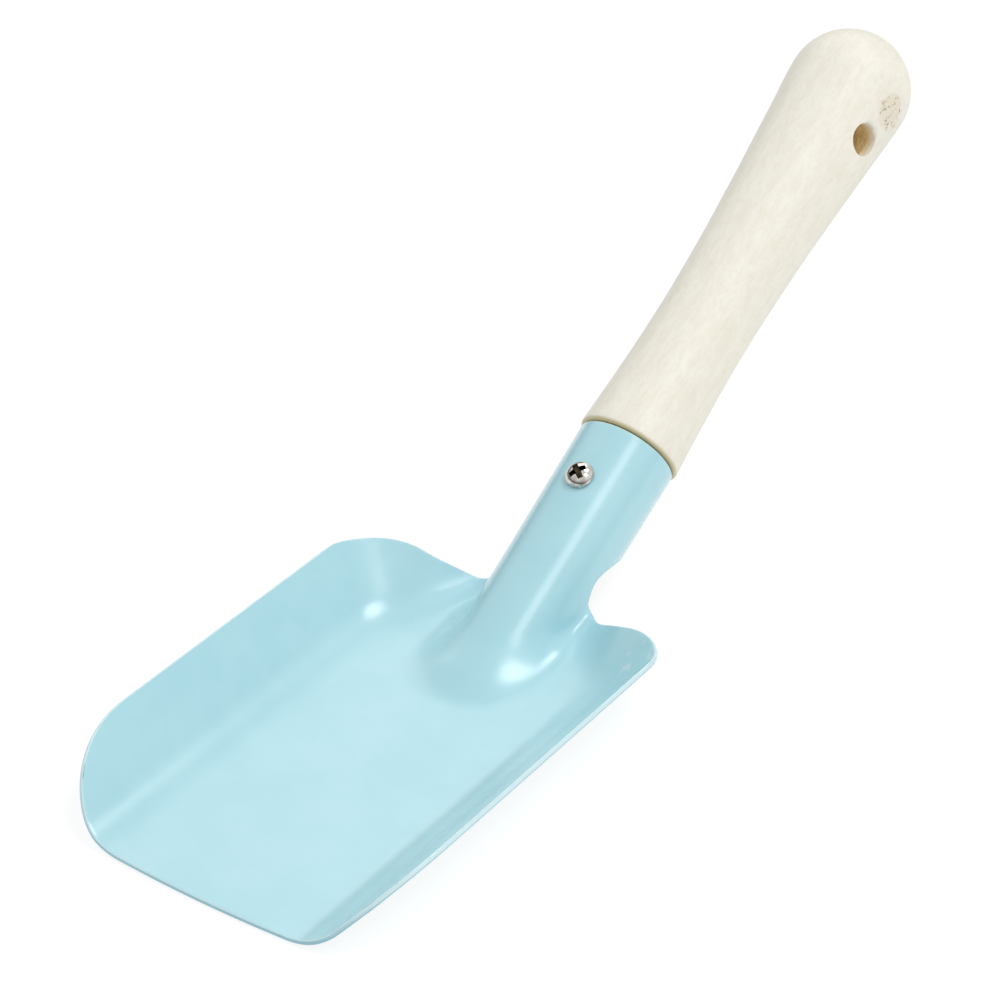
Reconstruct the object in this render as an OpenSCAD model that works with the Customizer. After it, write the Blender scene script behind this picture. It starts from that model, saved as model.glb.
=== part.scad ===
// Child's sand shovel: a pressed steel blade whose neck is rolled into a socket,
// a turned wooden handle held in that socket, and one cross-head screw.
// X runs from the digging edge to the handle, Z points up, and the origin is
// under the middle of the flat floor of the blade.

/* [Blade] */
// Length of the floor, from the digging edge to the foot of the rear wall
floor_l = 108.5; // [90:0.5:130]
// Width of the floor between the feet of the side walls
floor_w = 59.2; // [48:0.2:72]
// Thickness of the painted sheet
sheet_t = 1.2; // [0.8:0.1:1.6]
// Height of the side walls above the floor
wall_h = 15.3; // [11:0.1:20]
// How far a side wall leans outward from its foot to its top
wall_lean = 14.6; // [8:0.2:18]
// Height of the rear wall's crest above the floor, away from the neck
rear_h = 13.5; // [10:0.5:16]
// How far the rear wall leans backward over that height
rear_lean = 10.8; // [7:0.2:13]
// How much further back the foot of the rear wall is beside the neck
neck_foot = 3; // [1:0.5:5]
// Height of the rear wall's crest above the floor, beside the neck
neck_rear_h = 5; // [4:0.5:7]
// Horizontal distance from the foot of the rear wall to that lower crest
neck_crest = 16.8; // [15:0.2:19]
// Horizontal distance from the foot of the rear wall to the sheet's edge beside the neck
neck_edge = 13.5; // [11:0.5:15]
// Length of the digging edge's two corners along the blade
front_corner_l = 29; // [20:0.5:36]
// Width of those corners, measured on the flat sheet
front_corner_w = 23.6; // [18:0.2:28]
// How far the digging edge bulges forward in the middle
front_crown = 1.2; // [0:0.1:3]
// Inside radius of the bend between the floor and the walls
bend_r = 4.5; // [3:0.5:7]
// Radius of the rear corners inside the scoop, seen from above
pan_corner_r = 13; // [8:0.5:16]
// Radius of the rear corners at the top edge, seen from above
lip_corner_r = 16; // [14:0.2:20]
// Rounding over the top of the rear wall
lip_r = 3; // [2:0.5:5]

/* [Socket] */
// Slope of the socket and the handle above the floor, in degrees
socket_angle = 28.2; // [20:0.1:34]
// Outer diameter of the socket at its mouth
socket_d = 24.8; // [20:0.2:28]
// Outer diameter of the neck at the front end of the round socket
neck_d = 24; // [20:0.2:28]
// Diameter of the rounded nose that runs out onto the floor
nose_d = 24.6; // [24:0.2:28]
// Horizontal distance from the foot of the rear wall to the middle of the mouth
mouth_reach = 50.6; // [44:0.2:60]
// Height of the middle of the mouth above the floor's upper face
mouth_h = 25; // [20:0.5:30]
// Length of the round socket, from its mouth to the start of the open neck
socket_l = 36; // [30:1:40]
// Length of the seam whose two edges lie side by side under the socket
seam_l = 16; // [8:1:22]
// Gap between the two edges at the seam
seam_gap = 1.4; // [0.6:0.2:3]
// Distance of the nose's centre behind the mouth, along the socket
nose_l = 69; // [62:1:74]
// Radius of the hollow between the ridge and the floor
blend_r = 7; // [4:0.5:9]
// Radius of the hollow between the neck and the top of the rear wall
neck_blend_r = 2.5; // [1.5:0.5:4]
// Distance from the side of the neck at which the sheet's edge turns onto the neck
notch_gap = 4.5; // [3.5:0.5:6]

/* [Handle] */
// Length of the handle outside the socket
handle_l = 128.8; // [100:0.2:160]
// Diameter of the shoulder that covers the socket's mouth
shoulder_d = 25.9; // [24:0.1:30]
// Smallest diameter of the grip
waist_d = 23.5; // [20:0.1:26]
// Distance of the waist from the shoulder
waist_at = 37; // [25:1:50]
// Diameter of the grip where it swells toward the end
swell_d = 29.5; // [26:0.1:34]
// Distance of the swell from the shoulder
swell_at = 100; // [75:1:110]
// Diameter of the domed end
end_d = 31.2; // [28:0.1:36]
// Length of the spigot inside the socket
spigot_l = 23; // [19:0.5:30]
// Clearance between the spigot and the socket, on the radius
spigot_gap = 0.15; // [0.1:0.05:0.4]
// Gap between the shoulder and the mouth of the socket
shoulder_gap = 0.4; // [0.2:0.1:0.8]
// Rounding of the shoulder's edge
shoulder_r = 1; // [0.5:0.1:2]
// Diameter of the hanging hole
hang_d = 8; // [5:0.5:10]
// Distance of the hanging hole from the end of the handle
hang_back = 30.5; // [22:0.5:40]
// Turn of the hanging hole about the handle, from the screw's side, in degrees
hang_turn = 73.5; // [0:0.5:90]
// Chamfer at both mouths of the hanging hole
hang_chamfer = 0.5; // [0.2:0.1:1]

/* [Screw] */
// Distance of the screw behind the mouth of the socket
screw_back = 15.1; // [10:0.1:20]
// Diameter of the screw's pan head
head_d = 7; // [5.5:0.1:8]
// Height of the pan head
head_h = 2.6; // [2:0.1:3]
// Outer diameter of the thread
thread_d = 3.5; // [2.9:0.1:4]
// Diameter of the thread's core
core_d = 2.6; // [2:0.1:2.8]
// Length of the screw under its head
screw_l = 13; // [9:0.5:16]
// Distance between neighbouring turns of the thread
pitch = 1.3; // [1:0.1:1.8]
// Radial clearance of the screw's hole in the sheet
screw_gap = 0.3; // [0.1:0.05:0.5]
// Clearance of the thread that the screw has cut into the wood
thread_gap = 0.05; // [0.02:0.01:0.1]
// Width of the cross recess's arms
cross_w = 1.1; // [0.8:0.1:1.4]
// Depth of the cross recess
cross_depth = 1.7; // [1:0.1:2.2]

/* [Hidden] */
paint_colour = "#b3dfea";
wood_colour = "#efeedd";
steel_colour = "#b9b6ae";

// One overrun for every cut, and one step for measuring slopes
over = sheet_t / 2;
probe = sheet_t / 1000;

// Front edge, foot of the rear wall, and middle of the socket's mouth
front_x = -floor_l / 2;
rear_x = floor_l / 2;
mouth = [rear_x + mouth_reach, 0, sheet_t + mouth_h];
along = [cos(socket_angle), 0, sin(socket_angle)];
upward = [-sin(socket_angle), 0, cos(socket_angle)];

// Slope of the side walls, as run over rise
side_run = wall_lean / wall_h;
// Slant height of a side wall on the flat sheet
wall_s = norm([wall_h, wall_lean]);
// Behind its crest the rear wall would fall off at this angle, in degrees
lip_angle = 45;
// Distances from the middle line at which the low rear wall beside the neck starts to
// rise and has its full height, by the neck's diameter
near_share = 0.62;
away_share = 1.17;

// Counts of rows along the blade, and of points from the middle to the edge
corner_rows = 9;
plain_rows = 4;
fan_rows = 32;
notch_rows = 8;
seam_rows = 2;
columns = 21;
trace_steps = 44;
halvings = 13;
// Extra points go where the sheet turns: this share of the neck's girth per turn
turn_share = 0.5;

// Distance to a hollow that joins two faces with a round of radius r
function hollow(a, b, r) = (a < r && b < r) ? r - norm([r - a, r - b]) : min(a, b);
// Distance to a ridge that joins two faces with a round of radius r
function crest(a, b, r) = -hollow(-a, -b, r);
function ease(s) = s * s * (3 - 2 * s);
function mix(a, b, s) = a + (b - a) * s;
function clamp01(s) = max(0, min(1, s));

// Outer radius of the socket, measured at u along it from the mouth (u < 0)
function outer_r(u) =
    let (neck_share = -u / socket_l)
    let (tube_r = mix(socket_d, neck_d, neck_share) / 2)
    mix(tube_r, nose_d / 2, ease(clamp01((-u - socket_l) / (nose_l - socket_l))));

// One beside the neck, where the rear wall is low and set back, and zero away from it
function near_neck(y) =
    1 - ease(clamp01((abs(y) / neck_d - near_share) / (away_share - near_share)));

// Clear distance from the scoop's floor and walls
function pan_gap(p) =
    let (z = p.z - sheet_t)
    let (near = near_neck(p.y))
    let (foot_x = rear_x + neck_foot * near)
    let (crest_x = rear_x + mix(rear_lean, neck_crest, near))
    let (crest_z = mix(rear_h, neck_rear_h, near))
    let (rear_run = (crest_x - foot_x) / crest_z)
    let (side = (floor_w / 2 + z * side_run - abs(p.y)) / norm([1, side_run]))
    let (wall = (foot_x + z * rear_run - p.x) / norm([1, rear_run]))
    let (lip = (z - crest_z) * cos(lip_angle) + (p.x - crest_x) * sin(lip_angle))
    let (rear = crest(wall, lip, lip_r))
    hollow(max(z, p.x - crest_x), hollow(side, rear, pan_corner_r), bend_r);

// Clear distance from the round ridge, neck and socket
function socket_distance(p) =
    let (u = max((p - mouth) * along, -nose_l))
    norm(p - mouth - along * u) - outer_r(u);

function blend_at(p) = mix(blend_r, neck_blend_r, ease(clamp01((p.x - rear_x) / rear_lean)));
function gap(p) = hollow(pan_gap(p), socket_distance(p), blend_at(p));

function slope(p) = [
    gap(p + [probe, 0, 0]) - gap(p - [probe, 0, 0]),
    gap(p + [0, probe, 0]) - gap(p - [0, probe, 0]),
    gap(p + [0, 0, probe]) - gap(p - [0, 0, probe])
] / (2 * probe);
function settle(p, n) =
    n == 0 ? p : let (s = slope(p)) settle(p - s * gap(p) / (s * s), n - 1);

// Height of the sheet's upper face above a point of the plan, by halving
function height_between(x, y, low, high, n) =
    n == 0 ? (low + high) / 2
    : let (z = (low + high) / 2)
      gap([x, y, z]) > 0 ? height_between(x, y, low, z, n - 1) : height_between(x, y, z, high, n - 1);
function on_sheet(x, y) =
    let (axis_z = mouth.z + (x - mouth.x) * tan(socket_angle))
    let (low_z = abs(y) < neck_d / 2 ? max(0, axis_z) : 0)
    let (top_z = axis_z + nose_d / cos(socket_angle))
    [x, y, height_between(x, y, low_z, max(wall_h + nose_d / 2, top_z), halvings)];

// Running measure along a traced line: its length, and more where it turns
function turn_at(line, i) =
    i == 0 || i == len(line) - 1 ? 0
    : let (a = line[i] - line[i - 1])
      let (b = line[i + 1] - line[i])
      norm(a / norm(a) - b / norm(b));
function running(line) = [
    for (i = 0, m = 0; i < len(line);
         i = i + 1,
         m = i < len(line) ? m + norm(line[i] - line[i - 1])
             + neck_d * turn_share * (turn_at(line, i) + turn_at(line, i - 1)) / 2 : m)
    m
];
// The same line with n points, evenly spread over that measure
function respaced(line, n) =
    let (m = running(line))
    let (total = m[len(m) - 1])
    let (tables = [for (k = [0:2]) [for (i = [0:len(m) - 1]) [m[i], line[i][k]]]])
    [for (j = [0:n - 1]) [for (k = [0:2]) lookup(total * j / (n - 1), tables[k])]];

// Angles from the top of the socket to the sheet's edge, at the seam and at the neck
seam_angle = 180 - asin(seam_gap / socket_d);
open_angle = 84;
function socket_point(u, a) = mouth + along * u + outer_r(u) * (upward * cos(a) + [0, sin(a), 0]);

// The top edge seen from above, behind the front corner: the straight side, the rear
// corner, and the rear edge, which sweeps backward toward the neck
edge_y = floor_w / 2 + wall_lean;
edge_share = 0.7;
edge_x = rear_x + rear_lean * edge_share;
corner_x = edge_x - lip_corner_r;
corner_y = edge_y - lip_corner_r;
fan_share = 0.69;
fan_x = front_x + floor_l * fan_share;
notch_y = neck_d / 2 + notch_gap;
neck_start = mouth - along * socket_l;
side_steps = 4;
round_steps = 12;
sweep_steps = 10;
run_steps = 10;
function rear_edge(y) = [mix(edge_x, rear_x + neck_edge, near_neck(y)), y];
plan_line = concat(
    [for (i = [0:side_steps - 1]) [mix(fan_x, corner_x, i / side_steps), edge_y]],
    [for (i = [0:round_steps])
        let (a = 90 * i / round_steps) [corner_x, corner_y] + lip_corner_r * [sin(a), cos(a)]],
    [for (i = [1:sweep_steps]) rear_edge(mix(corner_y, notch_y, i / sweep_steps))]
);
// From there the edge bends round the foot of the neck's side and climbs along it
run_start = on_sheet(rear_edge(notch_y).x, notch_y);
run_end = socket_point(-socket_l, open_angle);
run_bend = [run_end.x - sheet_t, neck_d / 2 + over, run_start.z - over];
edge_line = concat(
    [for (p = plan_line) on_sheet(p.x, p.y)],
    [for (i = [1:run_steps - 1])
        let (s = i / run_steps)
        settle(mix(mix(run_start, run_bend, s), mix(run_bend, run_end, s), s), 4)]
);
// The middle line of the upper face, from the floor over the nose to the neck
neck_top = neck_start + upward * outer_r(-socket_l);
middle_line = [for (i = [0:trace_steps]) on_sheet(mix(fan_x, neck_top.x, i / trace_steps), 0)];

// How far the first ring of the round socket bows from a straight line, seen from above
function ring_plan(s) = neck_d / 2 * [-sin(socket_angle) * cos(s * open_angle), sin(s * open_angle)];
function ring_bow(s) = ring_plan(s) - mix(ring_plan(0), ring_plan(1), s);
// One row of points from the middle of the sheet to its edge, bowed by that times the swing
function row_between(a, b, swing = 0) =
    let (trace = [for (i = [0:trace_steps])
        let (s = i / trace_steps)
        let (plan = mix([a.x, a.y], [b.x, b.y], s) + swing * ring_bow(s))
        i == trace_steps ? b : on_sheet(plan.x, plan.y)])
    [for (p = respaced(trace, columns)) settle(p, 4)];

// The digging edge bulges forward a little in the middle
function crowned(p) =
    let (fade = clamp01(1 - (p.x - front_x) / front_corner_l))
    p + [front_crown * pow(2 * p.y / floor_w, 2) * fade * fade, 0, 0];

front_rows = [for (i = [0:corner_rows - 1])
    let (a = 90 * i / corner_rows)
    let (x = front_x + front_corner_l * (1 - cos(a)))
    let (s = wall_s - front_corner_w * (1 - sin(a)))
    let (y = floor_w / 2 + (s > 0 ? s * wall_lean / wall_s : s))
    [for (p = row_between([x, 0], on_sheet(x, y))) crowned(p)]];
middle_rows = [for (i = [0:plain_rows - 1])
    let (x = mix(front_x + front_corner_l, fan_x, i / plain_rows))
    row_between([x, 0], on_sheet(x, edge_y))];
fan_edge = [for (p = respaced(edge_line, fan_rows + 1)) settle(p, 2)];
fan_middle = respaced(middle_line, fan_rows + 1);
// Toward the socket the rows turn into its rings
swing_share = 0.6;
rear_rows = [for (i = [0:fan_rows - 1])
    let (swing = clamp01((i / fan_rows - swing_share) / (1 - swing_share)))
    row_between(fan_middle[i], fan_edge[i], swing * swing)];

// Angle from the top of the socket to the sheet's edge, at u along the socket
function edge_angle(u) =
    let (s = clamp01((u + socket_l) / (socket_l - seam_l)))
    mix(open_angle, seam_angle, s * s);
function socket_row(u) =
    let (last = edge_angle(u))
    [for (j = [0:columns - 1])
        let (a = last * j / (columns - 1))
        settle(socket_point(u, a), 2)];
socket_rows = concat(
    [for (i = [0:notch_rows - 1]) socket_row(mix(-socket_l, -seam_l, i / notch_rows))],
    [for (i = [0:seam_rows]) socket_row(-seam_l * (1 - i / seam_rows))]
);

half_sheet = concat(front_rows, middle_rows, rear_rows, socket_rows);

// A full row: the half row mirrored, then the half row itself
function full_row(half) = concat(
    [for (j = [columns - 1:-1:1]) [half[j].x, -half[j].y, half[j].z]], half);
function sheet_normal(p) = let (s = slope(p)) s / norm(s);

module sheet_shell() {
    upper = [for (half = half_sheet) each full_row(half)];
    lower = [for (half = half_sheet) each full_row([for (p = half) p - sheet_t * sheet_normal(p)])];
    wide = 2 * columns - 1;
    long = len(half_sheet);
    under = wide * long;
    polyhedron(
        points = concat(upper, lower),
        faces = concat(
            [for (i = [0:long - 2], j = [0:wide - 2])
                let (a = i * wide + j) each [[a, a + wide + 1, a + wide], [a, a + 1, a + wide + 1]]],
            [for (i = [0:long - 2], j = [0:wide - 2])
                let (a = under + i * wide + j) each [[a, a + wide, a + wide + 1], [a, a + wide + 1, a + 1]]],
            [for (a = [0:wide - 2]) each [[a, a + 1 + under, a + 1], [a, a + under, a + 1 + under]]],
            [for (j = [0:wide - 2])
                let (a = (long - 1) * wide + j)
                each [[a, a + 1, a + 1 + under], [a, a + 1 + under, a + under]]],
            [for (i = [0:long - 2])
                let (a = i * wide) each [[a, a + wide + under, a + under], [a, a + wide, a + wide + under]]],
            [for (i = [0:long - 2])
                let (a = i * wide + wide - 1)
                each [[a, a + under, a + wide + under], [a, a + wide + under, a + wide]]]
        )
    );
}

// Places its children on the socket's axis, u from the mouth, their -X side up
module on_axis(u) {
    translate(mouth + along * u) rotate([0, 90 - socket_angle, 0]) children();
}
// Places its children on the top line of the socket, their Z away from the axis
module on_screw() {
    on_axis(-screw_back) rotate([0, -90, 0]) translate([0, 0, outer_r(-screw_back)]) children();
}

module blade() {
    color(paint_colour) difference() {
        sheet_shell();
        on_screw() cylinder(r = thread_d / 2 + screw_gap, h = 4 * sheet_t, center = true, $fn = 48);
    }
}

// Slopes of the grip's outline: where it leaves the shoulder, and at the swell
shoulder_slope = -0.055;
swell_slope = 0.07;
function spline(a, b, slope_a, slope_b, u) =
    let (run = b.x - a.x)
    let (s = (u - a.x) / run)
    mix(a.y, b.y, ease(s)) + run * s * (1 - s) * ((1 - s) * slope_a - s * slope_b);

grip_start = shoulder_gap + shoulder_r;
dome_at = handle_l - end_d / 2;
// Radius of the grip at u from the socket's mouth, between its shoulder and its dome
function grip_r(u) =
    u < waist_at ? spline([grip_start, shoulder_d / 2], [waist_at, waist_d / 2], shoulder_slope, 0, u)
    : u < swell_at ? spline([waist_at, waist_d / 2], [swell_at, swell_d / 2], 0, swell_slope, u)
    : spline([swell_at, swell_d / 2], [dome_at, end_d / 2], swell_slope, 0, u);

shoulder_steps = 6;
grip_steps = 28;
dome_steps = 16;
spigot_r = socket_d / 2 - sheet_t - spigot_gap;
spigot_end_r = outer_r(-spigot_l) - sheet_t - spigot_gap;
handle_outline = concat(
    [
        [0, -spigot_l],
        [spigot_end_r - shoulder_r, -spigot_l],
        [spigot_end_r, -spigot_l + shoulder_r],
        [spigot_r, 0],
        [spigot_r, shoulder_gap]
    ],
    [for (i = [0:shoulder_steps]) let (a = 90 * i / shoulder_steps)
        [shoulder_d / 2 - shoulder_r * (1 - sin(a)), shoulder_gap + shoulder_r * (1 - cos(a))]],
    [for (i = [1:grip_steps]) let (u = mix(grip_start, dome_at, i / grip_steps)) [grip_r(u), u]],
    [for (i = [1:dome_steps]) let (a = 90 * i / dome_steps)
        [i == dome_steps ? 0 : end_d / 2 * cos(a), dome_at + end_d / 2 * sin(a)]]
);

module handle() {
    color(wood_colour) difference() {
        on_axis(0) rotate_extrude($fn = 96) polygon(handle_outline);
        on_axis(handle_l - hang_back) rotate([0, 0, hang_turn]) rotate([0, 90, 0]) hanging_cut();
        on_screw() rotate_extrude($fn = 48) polygon(shank_outline(thread_gap));
    }
}

// The bore for a cord, with a small chamfer at both of its mouths
module hanging_cut() {
    cylinder(d = hang_d, h = 2 * end_d, center = true, $fn = 64);
    small_d = hang_d - 2 * hang_chamfer;
    large_d = hang_d + 4 * hang_chamfer;
    for (side = [0, 1]) mirror([0, 0, side])
        translate([0, 0, grip_r(handle_l - hang_back) - 2 * hang_chamfer])
            cylinder(d1 = small_d, d2 = large_d, h = 3 * hang_chamfer, $fn = 64);
}

// Screw, drawn with its head's underside at Z = 0; its thread is drawn as rings
tip_l = core_d;
thread_turns = floor((screw_l - tip_l - 2 * sheet_t) / pitch);
thread_crest_share = 0.12;

// Half outline of the shank, or of its place in the wood with room around it
function shank_outline(room) = concat(
    [[0, over], [core_d / 2 + room, over]],
    [for (i = [0:thread_turns - 1])
        let (z = -screw_l + tip_l + pitch * (thread_turns - i))
        each [
            [core_d / 2 + room, z],
            [thread_d / 2 + room, z - pitch / 2 + pitch * thread_crest_share],
            [thread_d / 2 + room, z - pitch / 2 - pitch * thread_crest_share]
        ]],
    [[core_d / 2 + room, -screw_l + tip_l], [0, -screw_l - room]]
);

rim_share = 0.3;
cross_share = 0.62;
// Turn of the cross recess about the screw, in degrees
cross_turn = 22;
module screw_head() {
    rim_h = head_h * rim_share;
    crown_h = head_h - rim_h;
    crown_r = (pow(head_d / 2, 2) + pow(crown_h, 2)) / (2 * crown_h);
    difference() {
        union() {
            cylinder(d = head_d, h = rim_h, $fn = 64);
            translate([0, 0, rim_h]) intersection() {
                cylinder(d = head_d, h = crown_h, $fn = 64);
                translate([0, 0, crown_h - crown_r]) sphere(r = crown_r, $fn = 96);
            }
        }
        for (turn = [0, 90]) rotate([0, 0, turn + cross_turn])
            translate([0, 0, head_h - cross_depth / 2 + over])
                cube([head_d * cross_share, cross_w, cross_depth + 2 * over], center = true);
    }
}

module screw() {
    color(steel_colour) on_screw() union() {
        screw_head();
        rotate_extrude($fn = 48) polygon(shank_outline(0));
    }
}

blade();
handle();
screw();
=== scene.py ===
import math
import bpy
import numpy as np
from mathutils import Euler, Matrix, Vector


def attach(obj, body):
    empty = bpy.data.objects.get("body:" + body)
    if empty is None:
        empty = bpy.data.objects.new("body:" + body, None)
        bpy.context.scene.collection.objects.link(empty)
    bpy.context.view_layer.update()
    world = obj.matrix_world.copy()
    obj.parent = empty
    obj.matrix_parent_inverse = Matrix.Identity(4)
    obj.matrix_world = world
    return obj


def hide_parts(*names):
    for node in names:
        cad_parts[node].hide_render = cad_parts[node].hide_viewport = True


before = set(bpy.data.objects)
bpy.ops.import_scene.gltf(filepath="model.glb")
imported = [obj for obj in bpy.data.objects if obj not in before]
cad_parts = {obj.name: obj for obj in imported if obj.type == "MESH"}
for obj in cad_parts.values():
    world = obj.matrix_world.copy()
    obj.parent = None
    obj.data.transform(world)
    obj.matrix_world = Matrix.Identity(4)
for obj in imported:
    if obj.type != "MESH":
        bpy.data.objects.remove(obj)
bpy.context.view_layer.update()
scene = bpy.context.scene
scene.view_settings.view_transform = "Standard"
mm = 0.001
print("frame loaded:", sorted(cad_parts))

# Sizes of the pressed sheet, in millimetres
bladeSizes = {
    "floorLength": 108.5,
    "floorWidth": 59.2,
    "sheet": 1.2,
    "wallHeight": 15.3,
    "wallLean": 14.6,
    "rearHeight": 13.5,
    "rearLean": 10.8,
    "neckBase": 3.0,
    "neckReach": 16.8,
    "neckHeight": 5.0,
    "neckEdge": 13.5,
    "notchGap": 4.5,
    "cornerLength": 29.0,
    "cornerWidth": 23.6,
    "cornerClear": 8.0,
    "frontCrown": 1.2,
    "bendRound": 4.5,
    "panCorner": 13.0,
    "lipCorner": 16.0,
    "lipRound": 3.0,
    "edgeRound": 0.34,
}
socketSizes = {
    "slope": math.radians(28.2),
    "mouthWidth": 24.8,
    "neckWidth": 24.0,
    "noseWidth": 24.6,
    "mouthReach": 50.6,
    "mouthHeight": 25.0,
    "roundLength": 36.0,
    "seamLength": 16.0,
    "seamGap": 1.4,
    "noseBack": 69.0,
    "floorBlend": 7.0,
    "lipBlend": 2.5,
    "openAngle": math.radians(84),
}
bladeShares = {
    "dipStart": 0.62,
    "dipEnd": 1.17,
    "rearEdge": 0.7,
    "fanStart": 0.69,
    "swingStart": -1.5,
    "rimRoom": (1, 0.6, 0.3, 0.1),
}
# How finely the sheet is divided, in columns from the middle line to the edge and rows along it
bladeGrid = {
    "columns": 60,
    "front": 36,
    "middle": 22,
    "fan": 84,
    "notch": 28,
    "seam": 14,
    "rimRound": 4,
    "trace": 200,
    "cornerTrace": 60,
    "edgeTrace": 40,
    "endTrace": 20,
    "turnWeight": 6.0,
    "fanWeight": 12.0,
    "halvings": 20,
    "soften": 16,
    "softenReach": 5,
    "probe": 5,
    "evenWeight": 60,
}

sheet = bladeSizes["sheet"]
frontX = -bladeSizes["floorLength"] / 2
rearX = bladeSizes["floorLength"] / 2
halfFloor = bladeSizes["floorWidth"] / 2
edgeY = halfFloor + bladeSizes["wallLean"]
patchX = frontX + bladeSizes["cornerLength"] + bladeSizes["cornerClear"]
fanX = frontX + bladeSizes["floorLength"] * bladeShares["fanStart"]
lipAngle = math.radians(45)
slopeCos = math.cos(socketSizes["slope"])
slopeSin = math.sin(socketSizes["slope"])
mouth = np.array([rearX + socketSizes["mouthReach"], 0, sheet + socketSizes["mouthHeight"]])
along = np.array([slopeCos, 0, slopeSin])
upward = np.array([-slopeSin, 0, slopeCos])


def hollow(a, b, r):  # joins two faces with a concave round
    return np.where((a < r) & (b < r), r - np.hypot(r - a, r - b), np.minimum(a, b))


def crest(a, b, r):  # joins two faces with a convex round
    return -hollow(-a, -b, r)


def ease(s):
    return s * s * (3 - 2 * s)


def mix(a, b, s):
    return a + (b - a) * s


def clampShare(s):
    return np.clip(s, 0, 1)


def outerRadius(u):  # of the socket, u millimetres from its mouth
    s = socketSizes
    tube = mix(s["mouthWidth"], s["neckWidth"], -u / s["roundLength"]) / 2
    fade = clampShare((-u - s["roundLength"]) / (s["noseBack"] - s["roundLength"]))
    return mix(tube, s["noseWidth"] / 2, ease(fade))


# One beside the neck, where the rear wall is low and set back, and none away from it
def nearNeck(y):
    start, end = bladeShares["dipStart"], bladeShares["dipEnd"]
    return 1 - ease(clampShare((np.abs(y) / socketSizes["neckWidth"] - start) / (end - start)))


def panGap(p):  # clear distance from the scoop's floor, walls and lip
    b = bladeSizes
    x, y, z = p[..., 0], np.abs(p[..., 1]), p[..., 2] - sheet
    sideRun = b["wallLean"] / b["wallHeight"]
    near = nearNeck(y)
    baseX = rearX + b["neckBase"] * near
    lipX = rearX + mix(b["rearLean"], b["neckReach"], near)
    lipZ = mix(b["rearHeight"], b["neckHeight"], near)
    rearRun = (lipX - baseX) / lipZ
    side = (halfFloor + z * sideRun - y) / math.hypot(1, sideRun)
    wall = (baseX + z * rearRun - x) / np.hypot(1, rearRun)
    lip = (z - lipZ) * math.cos(lipAngle) + (x - lipX) * math.sin(lipAngle)
    rear = crest(wall, lip, b["lipRound"])
    return hollow(np.maximum(z, x - lipX), hollow(side, rear, b["panCorner"]), b["bendRound"])


def socketGap(p):  # clear distance from the round ridge, neck and socket
    u = np.maximum((p - mouth) @ along, -socketSizes["noseBack"])
    return np.linalg.norm(p - mouth - u[..., None] * along, axis=-1) - outerRadius(u)


def sheetGap(p):
    fade = ease(clampShare((p[..., 0] - rearX) / bladeSizes["rearLean"]))
    blend = mix(socketSizes["floorBlend"], socketSizes["lipBlend"], fade)
    return hollow(panGap(p), socketGap(p), blend)


def sheetSlope(p):
    step = sheet / 1000
    moves = np.eye(3) * step
    return np.stack([sheetGap(p + m) - sheetGap(p - m) for m in moves], axis=-1) / (2 * step)


def settle(p, times=4):  # moves points onto the sheet's upper face
    for _ in range(times):
        s = sheetSlope(p)
        p = p - s * (sheetGap(p) / np.sum(s * s, axis=-1))[..., None]
    return p


def onSheet(plan):  # lifts points of the plan onto the upper face
    x, y = plan[..., 0], plan[..., 1]
    axisZ = mouth[2] + (x - mouth[0]) * slopeSin / slopeCos
    low = np.where(np.abs(y) < socketSizes["neckWidth"] / 2, np.maximum(0, axisZ), 0)
    high = np.maximum(bladeSizes["wallHeight"] + socketSizes["noseWidth"] / 2,
                      axisZ + socketSizes["noseWidth"] / slopeCos)
    for _ in range(bladeGrid["halvings"]):
        z = (low + high) / 2
        above = sheetGap(np.stack([x, y, z], axis=-1)) > 0
        high = np.where(above, z, high)
        low = np.where(above, low, z)
    return np.stack([x, y, (low + high) / 2], axis=-1)


def respaced(line, count, turnWeight=bladeGrid["turnWeight"]):  # closer points where the line turns
    steps = np.diff(line, axis=0)
    lengths = np.linalg.norm(steps, axis=1)
    turns = np.zeros(len(line))
    turns[1:-1] = np.linalg.norm(np.diff(steps / lengths[:, None], axis=0), axis=1)
    measure = np.concatenate([[0], np.cumsum(lengths + turnWeight * (turns[1:] + turns[:-1]) / 2)])
    at = np.linspace(0, measure[-1], count)
    return np.stack([np.interp(at, measure, line[:, k]) for k in range(line.shape[1])], axis=1)


def rowTo(middle, edge, swing=0.0):  # one row of the sheet, from its middle line to its edge
    s = np.linspace(0, 1, bladeGrid["trace"])[:, None]
    a = s[:, 0] * socketSizes["openAngle"]
    arc = np.stack([-slopeSin * np.cos(a), np.sin(a)], axis=1)
    arc = socketSizes["neckWidth"] / 2 * (arc - mix(arc[0], arc[-1], s))
    trace = onSheet(mix(np.array(middle[:2]), np.array(edge[:2]), s) + swing * arc)
    trace[-1] = edge
    return respaced(trace, bladeGrid["columns"])


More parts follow.
